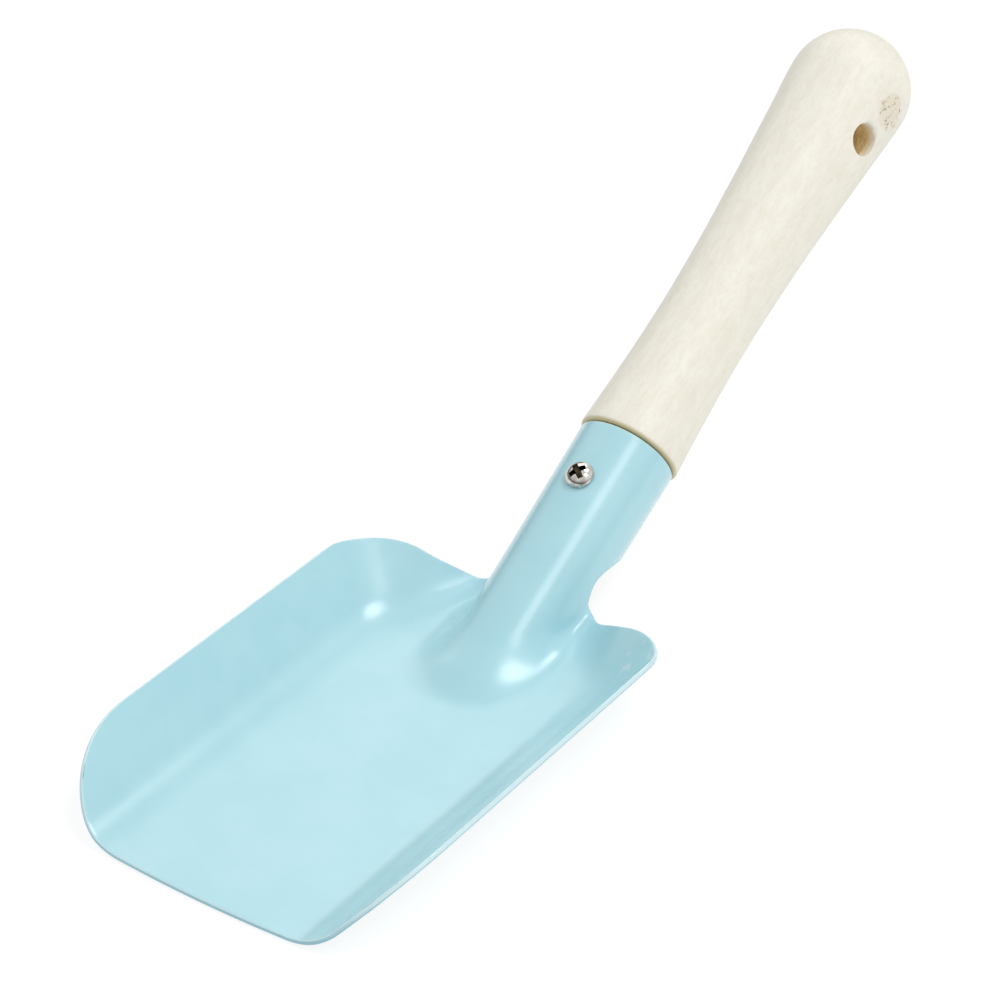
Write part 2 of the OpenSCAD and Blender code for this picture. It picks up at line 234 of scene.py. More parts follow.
def frontRows():  # a patch whose outline follows the digging edge and its round corner
    b, g = bladeSizes, bladeGrid
    slant = math.hypot(b["wallHeight"], b["wallLean"])
    tip, back = np.array([frontX, 0.0]), np.array([patchX, 0.0])

    def corner(a):
        s = slant - b["cornerWidth"] * (1 - np.sin(a))
        y = halfFloor + np.where(s > 0, s * b["wallLean"] / slant, s)
        return np.stack([frontX + b["cornerLength"] * (1 - np.cos(a)), y], axis=-1)

    firstHalf = corner(np.radians(np.linspace(0, 45, g["cornerTrace"])))
    secondHalf = corner(np.radians(np.linspace(45, 90, g["cornerTrace"])))
    straight = mix(tip, firstHalf[0], np.linspace(0, 1, g["cornerTrace"])[:-1, None])
    first = respaced(onSheet(np.concatenate([straight, firstHalf])), g["columns"])[:, :2]
    steps = np.linspace(0, 1, g["endTrace"])[1:, None]
    sideEnd = mix(secondHalf[-1], np.array([patchX, edgeY]), steps)
    side = respaced(np.concatenate([secondHalf, sideEnd]), g["front"] + 1, 0.0)
    last = rowTo([patchX, 0], onSheet(np.array([patchX, edgeY])))[:, :2]
    middle = mix(tip, back, np.linspace(0, 1, len(side))[:, None])
    u = np.linspace(0, 1, g["columns"])[None, :, None]
    v = np.linspace(0, 1, len(side))[:, None, None]
    patch = mix(first[None], last[None], v) + mix(middle[:, None], side[:, None], u)
    patch = patch - mix(mix(first[0], first[-1], u), mix(last[0], last[-1], u), v)
    return onSheet(patch[:-1])


def edgeLine():  # the top edge behind the front corner, round the rear corner and up to the neck
    b, s, count = bladeSizes, socketSizes, bladeGrid["edgeTrace"]
    edgeX = rearX + b["rearLean"] * bladeShares["rearEdge"]
    cornerAt = np.array([edgeX - b["lipCorner"], edgeY - b["lipCorner"]])
    sideEnd = cornerAt + [0, b["lipCorner"]]
    side = mix(np.array([fanX, edgeY]), sideEnd, np.linspace(0, 1, count)[:-1, None])
    a = np.linspace(0, math.pi / 2, count)
    rearCorner = cornerAt + b["lipCorner"] * np.stack([np.sin(a), np.cos(a)], axis=1)
    y = np.linspace(cornerAt[1], s["neckWidth"] / 2 + b["notchGap"], count)[1:]
    sweep = np.stack([edgeX + (rearX + b["neckEdge"] - edgeX) * nearNeck(y), y], axis=1)
    plan = onSheet(np.concatenate([side, rearCorner, sweep]))
    start = plan[-1]
    end = socketPoint(-s["roundLength"], s["openAngle"])
    bend = np.array([end[0] - sheet, s["neckWidth"] / 2 + sheet / 2, start[2] - sheet / 2])
    t = np.linspace(0, 1, count)[1:-1, None]
    run = mix(mix(start, bend, t), mix(bend, end, t), t)
    return np.concatenate([plan, settle(run)])


def socketPoint(u, a):  # on the socket's outside, a radians round from its top
    spoke = upward * math.cos(a) + np.array([0, math.sin(a), 0])
    return mouth + along * u + outerRadius(u) * spoke


def socketRow(u):  # half round the socket, closing from the open cut to the seam
    s = socketSizes
    seamAngle = math.pi - math.asin(s["seamGap"] / s["mouthWidth"])
    closed = clampShare((u + s["roundLength"]) / (s["roundLength"] - s["seamLength"]))
    last = mix(s["openAngle"], seamAngle, closed * closed)
    turns = np.linspace(0, last, bladeGrid["columns"])
    return settle(np.array([socketPoint(u, a) for a in turns]), 2)


def halfSheet():  # rows of points on the upper face, from the digging edge to the socket's mouth
    s, g = socketSizes, bladeGrid
    middle = [rowTo([x, 0], onSheet(np.array([x, edgeY])))
              for x in np.linspace(patchX, fanX, g["middle"] + 1)[:-1]]
    neckTop = mouth - along * s["roundLength"] + upward * outerRadius(-s["roundLength"])
    spineX = np.linspace(fanX, neckTop[0], g["trace"])
    spine = onSheet(np.stack([spineX, np.zeros(g["trace"])], axis=1))
    spine = respaced(spine, g["fan"] + 1, g["fanWeight"])
    edge = settle(respaced(edgeLine(), g["fan"] + 1, g["fanWeight"]), 2)
    swing = clampShare(np.linspace(bladeShares["swingStart"], 1, g["fan"] + 1))
    # The last rows turn into the socket's arcs
    fan = [rowTo(m, e, w * w) for m, e, w in zip(spine[:-1], edge[:-1], swing)]
    reach = np.concatenate([
        np.linspace(-s["roundLength"], -s["seamLength"], g["notch"] + 1)[:-1],
        np.linspace(-s["seamLength"], 0, g["seam"]),
    ])
    socket = [socketRow(u) for u in reach]
    grid = settle(np.concatenate([frontRows(), np.array(middle + fan + socket)]))
    first = len(grid) - len(socket) - g["fan"] // 2
    edge = grid[:, -1].copy()
    for _ in range(g["soften"]):  # rounds the cut beside the neck
        edge[first:-1] = edge[first:-1] / 2 + (edge[first - 1:-2] + edge[first + 1:]) / 4
    pull = np.linspace(0, 1, g["columns"])[None, :, None] ** g["softenReach"]
    return settle(grid + (edge - grid[:, -1])[:, None, :] * pull)


def pressedSheet():  # both faces of the sheet and its rounded rim
    g = bladeGrid
    half = halfSheet()
    mirrored = half[:, :0:-1] * np.array([1, -1, 1])
    top = np.concatenate([mirrored, half], axis=1)
    normal = sheetSlope(top)
    normal = normal / np.linalg.norm(normal, axis=-1, keepdims=True)
    rows, wide = top.shape[:2]
    rim = [(0, j) for j in range(wide)] + [(i, wide - 1) for i in range(1, rows)]
    rim += [(rows - 1, j) for j in range(wide - 2, -1, -1)]
    rim += [(i, 0) for i in range(rows - 2, 0, -1)]
    at = np.array([top[k] for k in rim])
    face = np.array([normal[k] for k in rim])
    run = np.roll(at, -1, axis=0) - np.roll(at, 1, axis=0)
    out = np.cross(run, face)
    out = out / np.linalg.norm(out, axis=1, keepdims=True)
    r = bladeSizes["edgeRound"]
    a = np.linspace(0, math.pi / 2, g["rimRound"])
    section = [(-r + r * math.sin(t), -r + r * math.cos(t)) for t in a]
    section += [(-r + r * math.cos(t), r - sheet - r * math.sin(t)) for t in a]
    probe = g["probe"]  # a few rows and columns in, to see which way is outward
    if np.sum((top[0, probe] - top[probe, probe]) * out[probe]) < 0:
        out = -out
    shift = np.zeros_like(top)  # makes room for the round along the rim
    for (i, j), o in zip(rim, out):
        di = 1 if i == 0 else -1 if i == rows - 1 else 0
        dj = 1 if j == 0 else -1 if j == wide - 1 else 0
        for step, part in enumerate(bladeShares["rimRoom"]):
            shift[i + di * step, j + dj * step] = -o * r * part
    top = top + shift
    fade = clampShare(1 - (top[..., 0] - frontX) / bladeSizes["cornerLength"])
    crown = np.zeros_like(top)
    crown[..., 0] = bladeSizes["frontCrown"] * (top[..., 1] / halfFloor) ** 2 * fade ** 2
    top = top + crown
    under = top - sheet * normal
    crownAt = np.array([crown[k] for k in rim])
    rings = [at + crownAt + out * o + face * d for o, d in section[1:-1]]
    verts = np.concatenate([top.reshape(-1, 3), under.reshape(-1, 3)] + rings) * mm
    below = rows * wide
    faces = []
    for i in range(rows - 1):
        for j in range(wide - 1):
            k = i * wide + j
            faces.append((k, k + wide, k + wide + 1, k + 1))
            faces.append((below + k, below + k + 1, below + k + wide + 1, below + k + wide))

    def rimVert(k, ring):
        k = k % len(rim)
        flat = rim[k][0] * wide + rim[k][1]
        if ring == 0:
            return flat
        if ring == len(section) - 1:
            return below + flat
        return 2 * below + (ring - 1) * len(rim) + k

    for k in range(len(rim)):
        for ring in range(len(section) - 1):
            faces.append((rimVert(k, ring), rimVert(k + 1, ring),
                          rimVert(k + 1, ring + 1), rimVert(k, ring + 1)))
    return verts, faces, 2 * below


def markPaintedRimLight(mesh, rimStart):  # marks the rounded rim, which gets a painted highlight and painted shade
    mask = mesh.attributes.new("paintedRimLight", "FLOAT", "POINT")
    mask.data.foreach_set("value", [float(k >= rimStart) for k in range(len(mesh.vertices))])


def makeObject(name, verts, faces, *materials):
    mesh = bpy.data.meshes.new(name)
    mesh.from_pydata([tuple(v) for v in verts], [], [tuple(f) for f in faces])
    mesh.update()
    mesh.polygons.foreach_set("use_smooth", [True] * len(mesh.polygons))
    obj = bpy.data.objects.new(name, mesh)
    scene.collection.objects.link(obj)
    for material in materials:
        obj.data.materials.append(material)
    return obj


def lathe(outline, segments):  # outline of (radius, height) pairs, from axis to axis
    verts, faces, rings = [], [], []
    for r, z in outline:
        if r == 0:
            rings.append([len(verts)])
            verts.append((0, 0, z))
            continue
        rings.append(list(range(len(verts), len(verts) + segments)))
        for k in range(segments):
            a = 2 * math.pi * k / segments
            verts.append((r * math.cos(a), r * math.sin(a), z))
    for low, high in zip(rings[:-1], rings[1:]):
        for k in range(segments):
            n = (k + 1) % segments
            if len(low) == 1:
                faces.append((low[0], high[n], high[k]))
            elif len(high) == 1:
                faces.append((low[k], low[n], high[0]))
            else:
                faces.append((low[k], low[n], high[n], high[k]))
    return verts, faces


def cutWith(obj, cutter):
    cut = obj.modifiers.new("cut", "BOOLEAN")
    cut.operation = "DIFFERENCE"
    cut.solver = "EXACT"
    cut.material_mode = "TRANSFER"
    cut.object = cutter
    graph = bpy.context.evaluated_depsgraph_get()
    graph.update()
    done = bpy.data.meshes.new_from_object(obj.evaluated_get(graph))
    obj.modifiers.clear()
    obj.data = done
    bpy.data.objects.remove(cutter)


# Shader groups that several finishes share
def nodeGroup(name, inputs, outputs):
    group = bpy.data.node_groups.new(name, "ShaderNodeTree")
    for label, kind, value in inputs:
        socket = group.interface.new_socket(label, in_out="INPUT", socket_type=kind)
        if value is not None:
            socket.default_value = value
    for label, kind in outputs:
        group.interface.new_socket(label, in_out="OUTPUT", socket_type=kind)
    return group, group.nodes.new("NodeGroupInput"), group.nodes.new("NodeGroupOutput")


def link(tree, source, target):
    tree.links.new(source, target)


def addMath(tree, kind, a, b):
    node = tree.nodes.new("ShaderNodeMath")
    node.operation = kind
    for socket, value in zip(node.inputs, (a, b)):
        if isinstance(value, (int, float)):
            socket.default_value = value
        else:
            link(tree, value, socket)
    return node.outputs[0]


def colourMix(tree, factor, a, b):
    node = tree.nodes.new("ShaderNodeMix")
    node.data_type = "RGBA"
    for socket, value in zip((node.inputs[0], node.inputs[6], node.inputs[7]), (factor, a, b)):
        if hasattr(value, "links"):
            link(tree, value, socket)
        else:
            socket.default_value = value
    return node.outputs[2]


cloudNoise = {"detail": 4.0, "roughness": 0.6}
spotNoise = {"scale": 420.0, "detail": 3.0, "spread": 5.0, "core": 0.7}


def makeMottleGroup():  # two colours in soft clouds, stretched along Z by Stretch
    group, given, result = nodeGroup("softMottle", [
        ("Vector", "NodeSocketVector", None),
        ("Pale", "NodeSocketColor", (1, 1, 1, 1)),
        ("Deep", "NodeSocketColor", (0.8, 0.8, 0.8, 1)),
        ("Scale", "NodeSocketFloat", 100.0),
        ("Stretch", "NodeSocketFloat", 1.0),
        ("Low", "NodeSocketFloat", 0.35),
        ("High", "NodeSocketFloat", 0.65),
    ], [("Color", "NodeSocketColor"), ("Mask", "NodeSocketFloat")])
    combine = group.nodes.new("ShaderNodeCombineXYZ")
    combine.inputs[0].default_value = combine.inputs[1].default_value = 1.0
    link(group, given.outputs["Stretch"], combine.inputs[2])
    scaled = group.nodes.new("ShaderNodeVectorMath")
    scaled.operation = "MULTIPLY"
    link(group, given.outputs["Vector"], scaled.inputs[0])
    link(group, combine.outputs[0], scaled.inputs[1])
    noise = group.nodes.new("ShaderNodeTexNoise")
    noise.inputs["Detail"].default_value = cloudNoise["detail"]
    noise.inputs["Roughness"].default_value = cloudNoise["roughness"]
    link(group, scaled.outputs[0], noise.inputs["Vector"])
    link(group, given.outputs["Scale"], noise.inputs["Scale"])
    ramp = group.nodes.new("ShaderNodeMapRange")
    ramp.interpolation_type = "SMOOTHSTEP"
    link(group, noise.outputs["Fac"], ramp.inputs["Value"])
    link(group, given.outputs["Low"], ramp.inputs["From Min"])
    link(group, given.outputs["High"], ramp.inputs["From Max"])
    link(group, ramp.outputs["Result"], result.inputs["Mask"])
    clouds = colourMix(group, ramp.outputs["Result"], given.outputs["Pale"], given.outputs["Deep"])
    link(group, clouds, result.inputs["Color"])
    return group


def makeSpeckGroup():  # sparse tiny specks
    group, given, result = nodeGroup("sparseSpecks", [
        ("Vector", "NodeSocketVector", None),
        ("Scale", "NodeSocketFloat", 300.0),
        ("Size", "NodeSocketFloat", 0.12),
        ("Rarity", "NodeSocketFloat", 0.9),
    ], [("Mask", "NodeSocketFloat")])
    cells = group.nodes.new("ShaderNodeTexVoronoi")
    link(group, given.outputs["Vector"], cells.inputs["Vector"])
    link(group, given.outputs["Scale"], cells.inputs["Scale"])
    near = addMath(group, "LESS_THAN", cells.outputs["Distance"], given.outputs["Size"])
    split = group.nodes.new("ShaderNodeSeparateColor")
    link(group, cells.outputs["Color"], split.inputs[0])
    chosen = addMath(group, "GREATER_THAN", split.outputs[0], given.outputs["Rarity"])
    link(group, addMath(group, "MULTIPLY", near, chosen), result.inputs["Mask"])
    return group


def makeSpotGroup():  # one inside a ragged round patch, none outside
    group, given, result = nodeGroup("raggedSpot", [
        ("Vector", "NodeSocketVector", None),
        ("Centre", "NodeSocketVector", (0, 0, 0)),
        ("Size", "NodeSocketFloat", 0.005),
        ("Ragged", "NodeSocketFloat", 0.001),
    ], [("Mask", "NodeSocketFloat")])
    away = group.nodes.new("ShaderNodeVectorMath")
    away.operation = "DISTANCE"
    link(group, given.outputs["Vector"], away.inputs[0])
    link(group, given.outputs["Centre"], away.inputs[1])
    noise = group.nodes.new("ShaderNodeTexNoise")
    noise.inputs["Scale"].default_value = spotNoise["scale"]
    noise.inputs["Detail"].default_value = spotNoise["detail"]
    link(group, given.outputs["Vector"], noise.inputs["Vector"])
    torn = addMath(group, "SUBTRACT", noise.outputs["Fac"], 0.5)
    torn = addMath(group, "MULTIPLY", torn, spotNoise["spread"])
    torn = addMath(group, "MULTIPLY", torn, given.outputs["Ragged"])
    edge = group.nodes.new("ShaderNodeMapRange")
    link(group, addMath(group, "ADD", away.outputs["Value"], torn), edge.inputs["Value"])
    core = addMath(group, "MULTIPLY", given.outputs["Size"], spotNoise["core"])
    link(group, core, edge.inputs["From Min"])
    link(group, given.outputs["Size"], edge.inputs["From Max"])
    edge.inputs["To Min"].default_value = 1.0
    edge.inputs["To Max"].default_value = 0.0
    link(group, edge.outputs["Result"], result.inputs["Mask"])
    return group


mottleGroup = makeMottleGroup()
speckGroup = makeSpeckGroup()
spotGroup = makeSpotGroup()


def newMaterial(name, values):
    material = bpy.data.materials.new(name)
    material.use_nodes = True
    tree = material.node_tree
    shader = tree.nodes["Principled BSDF"]
    for label, value in values.items():
        shader.inputs[label].default_value = value
    place = tree.nodes.new("ShaderNodeTexCoord")
    return material, tree, shader, place.outputs["Object"]


def axisMatrix(u=0.0, lift=0.0):  # frame of the socket's axis: Z along it, -X on its upper side
    turn = Matrix([(-upward[0], 0, along[0]), (0, 1, 0), (-upward[2], 0, along[2])]).to_4x4()
    return Matrix.Translation(Vector((mouth + along * u + upward * lift) * mm)) @ turn


def alongAxis(tree, place):  # coordinates with Z along the handle
    turned = tree.nodes.new("ShaderNodeMapping")
    turned.vector_type = "TEXTURE"
    turned.inputs["Location"].default_value = axisMatrix().translation
    turned.inputs["Rotation"].default_value = axisMatrix().to_euler()
    link(tree, place, turned.inputs["Vector"])
    return turned.outputs[0]


def addGroup(tree, group, vector, **values):
    node = tree.nodes.new("ShaderNodeGroup")
    node.node_tree = group
    link(tree, vector, node.inputs["Vector"])
    for label, value in values.items():
        node.inputs[label].default_value = value
    return node


def addNoise(tree, vector, scale, detail=2.0):
    noise = tree.nodes.new("ShaderNodeTexNoise")
    noise.inputs["Scale"].default_value = scale
    noise.inputs["Detail"].default_value = detail
    link(tree, vector, noise.inputs["Vector"])
    return noise.outputs["Fac"]


def addBump(tree, shader, height, strength, distance):
    bump = tree.nodes.new("ShaderNodeBump")
    bump.inputs["Strength"].default_value = strength
    bump.inputs["Distance"].default_value = distance
    link(tree, height, bump.inputs["Height"])
    link(tree, bump.outputs[0], shader.inputs["Normal"])


# From low to high while the value goes from fromLow to fromHigh
def toRange(tree, value, low, high, fromLow=0.0, fromHigh=1.0):
    node = tree.nodes.new("ShaderNodeMapRange")
    node.inputs["From Min"].default_value = fromLow
    node.inputs["From Max"].default_value = fromHigh
    node.inputs["To Min"].default_value = low
    node.inputs["To Max"].default_value = high
    link(tree, value, node.inputs["Value"])
    return node.outputs["Result"]


def linear(r, g, b):  # a colour as a picture shows it, 0 to 255, as Blender's own linear colour
    return tuple(c / 12.92 if c <= 0.04045 else ((c + 0.055) / 1.055) ** 2.4
                 for c in (r / 255, g / 255, b / 255)) + (1.0,)


# The paint's colours and grain; ranges and roughness are what toRange is given
paintLook = {
    "pale": linear(179, 225, 234),
    "deep": linear(173, 221, 231),
    "speck": linear(222, 232, 232),
    # The rim colours here are painted light: edge is a painted highlight where the rim faces up,
    # the next is painted shade where it faces sideways
    "edge": linear(214, 238, 243),
    "rimPaintedShade": linear(138, 196, 212),
    "scuff": linear(214, 232, 235),
    "clouds": {"Scale": 45.0},
    "specks": {"Scale": 260.0, "Size": 0.1, "Rarity": 0.985},
    "scuffed": {"Centre": Vector((0.0535, -0.039, 0.0125)), "Size": 0.007, "Ragged": 0.003},
    "scuffGrain": 380.0,
    "scuffRange": (0.0, 0.8, 0.56, 0.64),
    # Rim painted light: the upward tilt that turns painted shade into painted highlight, and how
    # strongly it is laid on
    "rimLitRange": (0.0, 1.0, 0.1, 0.6),
    "rimPaintedShare": 0.85,
    "coat": 1.0,
    "coatRoughness": 0.21,
    "gloss": 0.2,
    "film": 500.0,
    "roughness": (0.28, 0.38, 0.3, 0.7),
    "rippleGrain": 160.0,
    "ripple": 0.03,
    "rippleDepth": 0.0004,
}


def makePaint():
    look = paintLook
    material, tree, shader, place = newMaterial("skyBluePaint", {
        "Coat Weight": look["coat"],
        "Coat Roughness": look["coatRoughness"],
        "Specular IOR Level": look["gloss"],
    })
    clouds = addGroup(tree, mottleGroup, place, Pale=look["pale"], Deep=look["deep"],
                      **look["clouds"])
    specks = addGroup(tree, speckGroup, place, **look["specks"])
    colour = colourMix(tree, specks.outputs["Mask"], clouds.outputs["Color"], look["speck"])
    patch = addGroup(tree, spotGroup, place, **look["scuffed"])
    grain = addNoise(tree, place, look["scuffGrain"], 4.0)
    rubbed = toRange(tree, grain, *look["scuffRange"])
    rubbed = addMath(tree, "MULTIPLY", patch.outputs["Mask"], rubbed)
    colour = colourMix(tree, rubbed, colour, look["scuff"])
    # The rounded rim is painted with light and shade: a painted highlight where its normal points
    # up, painted shade where it faces sideways
    edge = tree.nodes.new("ShaderNodeAttribute")
    edge.attribute_name = "paintedRimLight"
    facing = tree.nodes.new("ShaderNodeNewGeometry")
    height = tree.nodes.new("ShaderNodeSeparateXYZ")
    link(tree, facing.outputs["Normal"], height.inputs[0])
    rimLitShare = toRange(tree, height.outputs["Z"], *look["rimLitRange"])
    rimLightAndShade = colourMix(tree, rimLitShare, look["rimPaintedShade"], look["edge"])
    onPaintedRim = toRange(tree, edge.outputs["Fac"], 0.0, look["rimPaintedShare"])
    colour = colourMix(tree, onPaintedRim, colour, rimLightAndShade)
    link(tree, colour, shader.inputs["Base Color"])
    film = toRange(tree, addNoise(tree, place, look["film"]), *look["roughness"])
    link(tree, film, shader.inputs["Roughness"])
    ripple = addNoise(tree, place, look["rippleGrain"], 1.0)
    addBump(tree, shader, ripple, look["ripple"], look["rippleDepth"])
    return material


# The wood's colours and grain; each bump has a strength and a depth in metres
woodLook = {
    "pale": linear(246, 243, 231),
    "deep": linear(240, 236, 221),
    "fleck": linear(230, 223, 202),
    "speck": linear(190, 168, 138),
    # edge is the darker ochre of the band on the shoulder's underside
    "edge": linear(208, 191, 140),
    "bored": linear(248, 228, 180),
    "boredDeep": linear(232, 204, 150),
    "knot": linear(226, 214, 192),
    "knotEdge": linear(172, 140, 98),
    "body": {"Scale": 520.0, "Stretch": 0.3, "Low": 0.3, "High": 0.75},
    "fibres": {"Scale": 1800.0, "Stretch": 0.3, "Low": 0.45, "High": 0.75},
    "specks": {"Scale": 160.0, "Size": 0.1, "Rarity": 0.97},
    "tornGrain": {"Centre": Vector((-0.0024, -0.0152, 0.1092)), "Size": 0.0052, "Ragged": 0.0014},
    "boredGrain": {"Scale": 900.0, "Stretch": 0.2},
    "fibreShare": 0.45,
    "speckShare": 0.6,
    "shoulderBandRange": (0.9, 0.0, 0.0006, 0.0013),
    "curlGrain": 380.0,
    "curlRange": (1.0, 0.0, 0.008, 0.03),
    "brokenGrain": 1300.0,
    "brokenRange": (0.0, 1.0, 0.42, 0.55),
    "knotShare": 0.5,
    "sandedRange": (0.0, 1.0, 0.0118, 0.0142),
    "roughness": (0.42, 0.56),
    "bump": (0.12, 0.0003),
    "boredRoughness": (0.7, 0.9),
    "boredBump": (0.4, 0.0004),
}


def makeWood():
    look = woodLook
    material, tree, shader, place = newMaterial("bleachedBirch", {})
    place = alongAxis(tree, place)
    body = addGroup(tree, mottleGroup, place, Pale=look["pale"], Deep=look["deep"], **look["body"])
    fibres = addGroup(tree, mottleGroup, place, Pale=look["pale"], Deep=look["fleck"],
                      **look["fibres"])
    streaks = toRange(tree, fibres.outputs["Mask"], 0.0, look["fibreShare"])
    colour = colourMix(tree, streaks, body.outputs["Color"], look["fleck"])
    specks = addGroup(tree, speckGroup, place, **look["specks"])
    faded = toRange(tree, specks.outputs["Mask"], 0.0, look["speckShare"])
    colour = colourMix(tree, faded, colour, look["speck"])
    height = tree.nodes.new("ShaderNodeSeparateXYZ")
    link(tree, place, height.inputs[0])
    shoulderBand = toRange(tree, height.outputs["Z"], *look["shoulderBandRange"])  # a darker ochre band on the shoulder's rounded underside
    colour = colourMix(tree, shoulderBand, colour, look["edge"])
    knot = addGroup(tree, spotGroup, place, **look["tornGrain"]).outputs["Mask"]
    curl = addMath(tree, "SUBTRACT", addNoise(tree, place, look["curlGrain"], 3.0), 0.5)
    curl = addMath(tree, "ABSOLUTE", curl, 0.0)
    torn = addMath(tree, "MULTIPLY", toRange(tree, curl, *look["curlRange"]), knot)
    broken = toRange(tree, addNoise(tree, place, look["brokenGrain"], 3.0), *look["brokenRange"])
    outline = addMath(tree, "MULTIPLY", torn, broken)
    colour = colourMix(tree, toRange(tree, knot, 0.0, look["knotShare"]), colour, look["knot"])
    colour = colourMix(tree, outline, colour, look["knotEdge"])
    link(tree, colour, shader.inputs["Base Color"])
    polish = toRange(tree, fibres.outputs["Mask"], *look["roughness"])
    link(tree, polish, shader.inputs["Roughness"])
    relief = addMath(tree, "SUBTRACT", fibres.outputs["Mask"], outline)
    addBump(tree, shader, relief, *look["bump"])
    return material


def makeBoredWood():
    look = woodLook
    material, tree, shader, place = newMaterial("boredWood", {})
    place = alongAxis(tree, place)
    grain = addGroup(tree, mottleGroup, place, Pale=look["bored"], Deep=look["boredDeep"],
                     **look["boredGrain"])
    flat = tree.nodes.new("ShaderNodeVectorMath")
    flat.operation = "MULTIPLY"
    link(tree, place, flat.inputs[0])
    flat.inputs[1].default_value = (1, 1, 0)
    depth = tree.nodes.new("ShaderNodeVectorMath")
    depth.operation = "LENGTH"
    link(tree, flat.outputs[0], depth.inputs[0])
    sanded = toRange(tree, depth.outputs["Value"], *look["sandedRange"])  # the mouth is sanded pale
    colour = colourMix(tree, sanded, grain.outputs["Color"], look["pale"])
    link(tree, colour, shader.inputs["Base Color"])
    fuzz = toRange(tree, grain.outputs["Mask"], *look["boredRoughness"])
    link(tree, fuzz, shader.inputs["Roughness"])
    addBump(tree, shader, grain.outputs["Mask"], *look["boredBump"])
    return material


nickelLook = {
    "plate": {
        "pale": linear(222, 219, 214),
        "deep": linear(184, 180, 173),
        "roughness": (0.08, 0.2, 0.3, 0.7),
    },
    # A dark copy of the nickel: painted shade for the inside of the cross recess
    "pressed": {
        "pale": linear(92, 82, 70),
        "deep": linear(46, 40, 34),
        "roughness": (0.25, 0.4, 0.3, 0.7),
    },
    "clouds": 700.0,
    "film": 2500.0,
    "dents": 1600.0,
    "bump": (0.1, 0.0001),
}


def makeNickel(name, look):
    material, tree, shader, place = newMaterial(name, {"Metallic": 1.0})
    clouds = addGroup(tree, mottleGroup, place, Pale=look["pale"], Deep=look["deep"],
                      Scale=nickelLook["clouds"])
    link(tree, clouds.outputs["Color"], shader.inputs["Base Color"])
    film = toRange(tree, addNoise(tree, place, nickelLook["film"]), *look["roughness"])
    link(tree, film, shader.inputs["Roughness"])
    addBump(tree, shader, addNoise(tree, place, nickelLook["dents"]), *nickelLook["bump"])
    return material


paint = makePaint()
wood = makeWood()
boredWood = makeBoredWood()
nickel = makeNickel("nickelPlate", nickelLook["plate"])
# the cross recess is made dark by this painted shade
recessShadeNickel = makeNickel("paintedShadeRecess", nickelLook["pressed"])
print("finishes made")


def dress(obj, node):
    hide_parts(node)
    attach(obj, "root")


bladeVerts, bladeFaces, rimStart = pressedSheet()
blade = makeObject("pressedBlade", bladeVerts, bladeFaces, paint)
# marks the rim for its painted highlight and painted shade
markPaintedRimLight(blade.data, rimStart)
weighted = blade.modifiers.new("evenNormals", "WEIGHTED_NORMAL")
weighted.weight = bladeGrid["evenWeight"]
dress(blade, "blade")
print("blade pressed:", len(blade.data.polygons), "faces")

# Sizes of the turned handle, in millimetres from the socket's mouth
handleSizes = {
    "length": 128.8,
    "shoulder": 25.9,
    "shoulderGap": 0.4,
    "shoulderRound": 1.0,
    "waist": 23.5,
    "waistAt": 37.0,
    "swell": 29.5,
    "swellAt": 100.0,
    "end": 31.2,
    "shoulderSlope": -0.055,
    "swellSlope": 0.07,
    "spigotLength": 23.0,
    "spigotStraight": 2.0,
    "spigotGap": 0.15,
    "hole": 8.0,
    "holeBack": 30.5,
    "holeTurn": math.radians(73.5),
    "holeRound": 1.2,
    "roundTurn": math.radians(80),
    "roundLift": 0.25,
    "flareWide": 4.0,
    "flareLift": 1.2,
    "drillReach": 12.0,
    "unevenness": 0.05,
    "unevenStart": 3.0,
    "unevenRun": 10.0,
    "unevenCore": 8.0,
    "sharpAngle": math.radians(50),
    "segments": 168,
    "drillSegments": 96,
}
# The sanding's waves: share, times round the handle, turn in radians for each millimetre along it
sandingWaves = ((1.0, 2, 0.06), (0.6, 3, -0.11), (0.5, 1, 0.31))


def spline(a, b, slopeA, slopeB, u):  # smooth line between two points with given slopes
    run = b[0] - a[0]
    s = (u - a[0]) / run
    return mix(a[1], b[1], ease(s)) + run * s * (1 - s) * ((1 - s) * slopeA - s * slopeB)


def gripRadius(u):  # of the grip, u millimetres from the socket's mouth
    h = handleSizes
    start = [h["shoulderGap"] + h["shoulderRound"], h["shoulder"] / 2]
    waist = [h["waistAt"], h["waist"] / 2]
    swell = [h["swellAt"], h["swell"] / 2]
    dome = [h["length"] - h["end"] / 2, h["end"] / 2]
    if u < h["waistAt"]:
        return spline(start, waist, h["shoulderSlope"], 0, u)
    if u < h["swellAt"]:
        return spline(waist, swell, 0, h["swellSlope"], u)
    return spline(swell, dome, h["swellSlope"], 0, u)


def handleOutline():
    h = handleSizes
    spigot = socketSizes["mouthWidth"] / 2 - sheet - h["spigotGap"]
    spigotEnd = outerRadius(-h["spigotLength"]) - sheet - h["spigotGap"]
    r = h["shoulderRound"]
    domeAt = h["length"] - h["end"] / 2
    line = [(0, -h["spigotLength"])]
    line += [(spigotEnd - r + r * math.sin(a), -h["spigotLength"] + r - r * math.cos(a))
             for a in np.linspace(0, math.pi / 2, 6)]
    line += [(spigot, u) for u in np.linspace(-h["spigotStraight"], h["shoulderGap"], 4)]
    line += [(h["shoulder"] / 2 - r + r * math.sin(a), h["shoulderGap"] + r - r * math.cos(a))
             for a in np.linspace(0, math.pi / 2, 8)]
    line += [(gripRadius(u), u) for u in np.linspace(h["shoulderGap"] + r, domeAt, 120)[1:]]
    line += [(h["end"] / 2 * math.cos(a), domeAt + h["end"] / 2 * math.sin(a))
             for a in np.linspace(0, math.pi / 2, 40)[1:-1]]
    return line + [(0, h["length"])]


